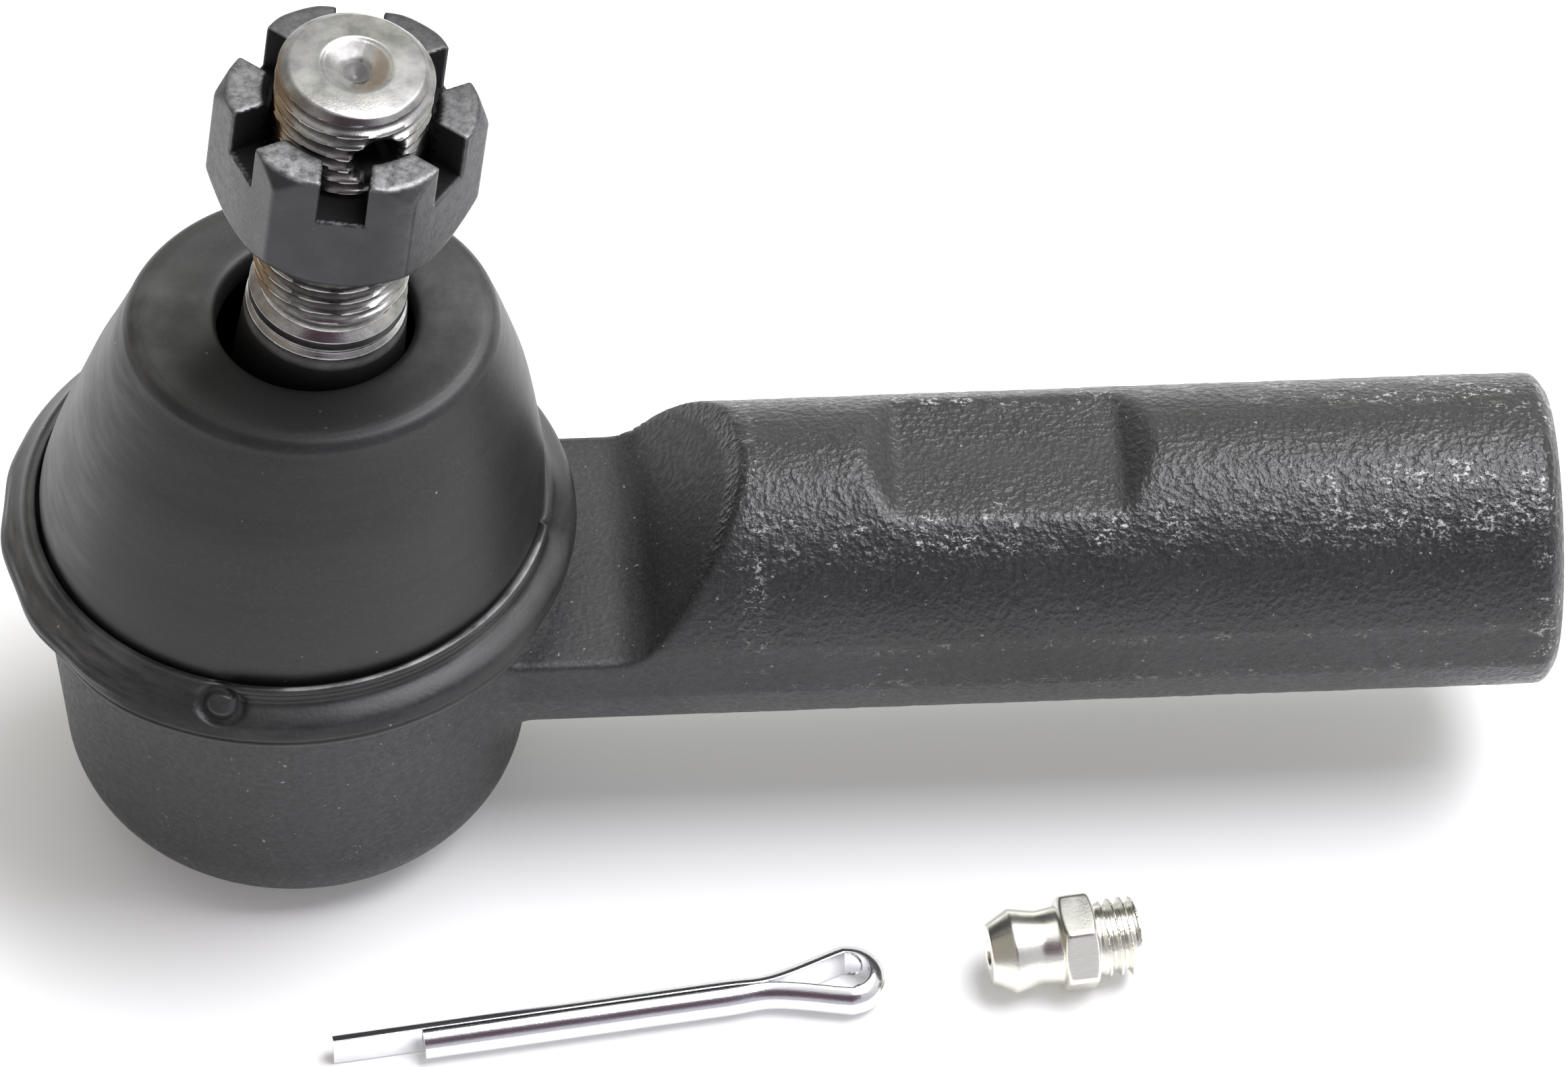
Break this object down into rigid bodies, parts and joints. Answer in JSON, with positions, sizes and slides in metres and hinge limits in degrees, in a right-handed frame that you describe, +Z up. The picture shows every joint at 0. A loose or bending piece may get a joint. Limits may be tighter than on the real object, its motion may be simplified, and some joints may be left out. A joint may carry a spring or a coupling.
{
  "type": "tie rod end",
  "caption": "Ball-joint tie rod end: forged housing with a threaded shank bore, leaning tapered stud with a castle nut, dust boot, and a loose cotter pin and grease fitting.",
  "frame": {"origin": "under the middle of the whole set, on the surface that it stands on", "axes": "+X along the shank towards its open end, +Y away from the loose pin and fitting, +Z up along the socket's axis"},
  "size_m": [0.1218, 0.055, 0.0821],
  "materials": {
    "forging": "black coated forging, pebbled",
    "pressed_steel": "satin",
    "spring_steel": "satin",
    "sintered_steel": "matt",
    "bearing_plastic": "moulded",
    "machined_steel": "turned and rolled",
    "black_oxide": "black oxide",
    "boot_rubber": "satin",
    "zinc_plate": "bright zinc",
    "yellow_zinc": "pale yellow zinc",
    "bearing_ball": "polished"
  },
  "bodies": {
    "housing": {"housing": "forging", "cover_plate": "pressed_steel", "preload_spring": "spring_steel", "dust_boot": "boot_rubber", "boot_bead": "boot_rubber", "boot_insert_ring": "pressed_steel"},
    "bearing_liner": {"bearing_liner": "bearing_plastic"},
    "half_ball": {"half_ball": "sintered_steel"},
    "ball_stud": {"ball_stud": "machined_steel"},
    "castle_nut": {"castle_nut": "black_oxide"},
    "pressure_seat": {"pressure_seat": "sintered_steel"},
    "cotter_pin": {"cotter_pin": "zinc_plate"},
    "grease_fitting": {"grease_fitting": "yellow_zinc", "fitting_spring": "spring_steel"},
    "fitting_ball": {"fitting_ball": "bearing_ball"}
  },
  "joints": [
    {"name": "liner_turn", "type": "hinge", "parent": "housing", "child": "bearing_liner", "pos_m": [-0.0384, 0.005, 0.0224], "axis": [0, 0, 1], "continuous": true},
    {"name": "stud_tilt", "type": "hinge", "parent": "bearing_liner", "child": "half_ball", "pos_m": [-0.0384, 0.005, 0.0224], "axis": [0.2974, 0.9548, 0], "range_deg": [-26, 13], "deforming": ["dust_boot"]},
    {"name": "stud_spin", "type": "hinge", "parent": "half_ball", "child": "ball_stud", "pos_m": [-0.0384, 0.005, 0.0224], "axis": [0.1106, -0.0344, 0.9933], "continuous": true},
    {"name": "nut_turn", "type": "hinge", "parent": "ball_stud", "child": "castle_nut", "pos_m": [-0.03287, 0.00328, 0.07206], "axis": [0.1106, -0.0344, 0.9933], "continuous": true},
    {"name": "pressure_seat_slide", "type": "slide", "parent": "housing", "child": "pressure_seat", "axis": [0, 0, 1], "range_m": [-0.0005, 0], "stiffness_N_per_m": 2000, "springref_m": 0.0005, "deforming": ["preload_spring"]},
    {"name": "cotter_pin_lift", "type": "slide", "parent": "housing", "child": "cotter_pin", "axis": [0, 0, 1], "range_m": [0, 0.04]},
    {"name": "grease_fitting_lift", "type": "slide", "parent": "housing", "child": "grease_fitting", "axis": [0, 0, 1], "range_m": [0, 0.04]},
    {"name": "fitting_ball_slide", "type": "slide", "parent": "grease_fitting", "child": "fitting_ball", "axis": [0.9925, 0.1219, 0], "range_m": [0, 0.0006], "stiffness_N_per_m": 400, "springref_m": -0.0005, "deforming": ["fitting_spring"]}
  ]
}
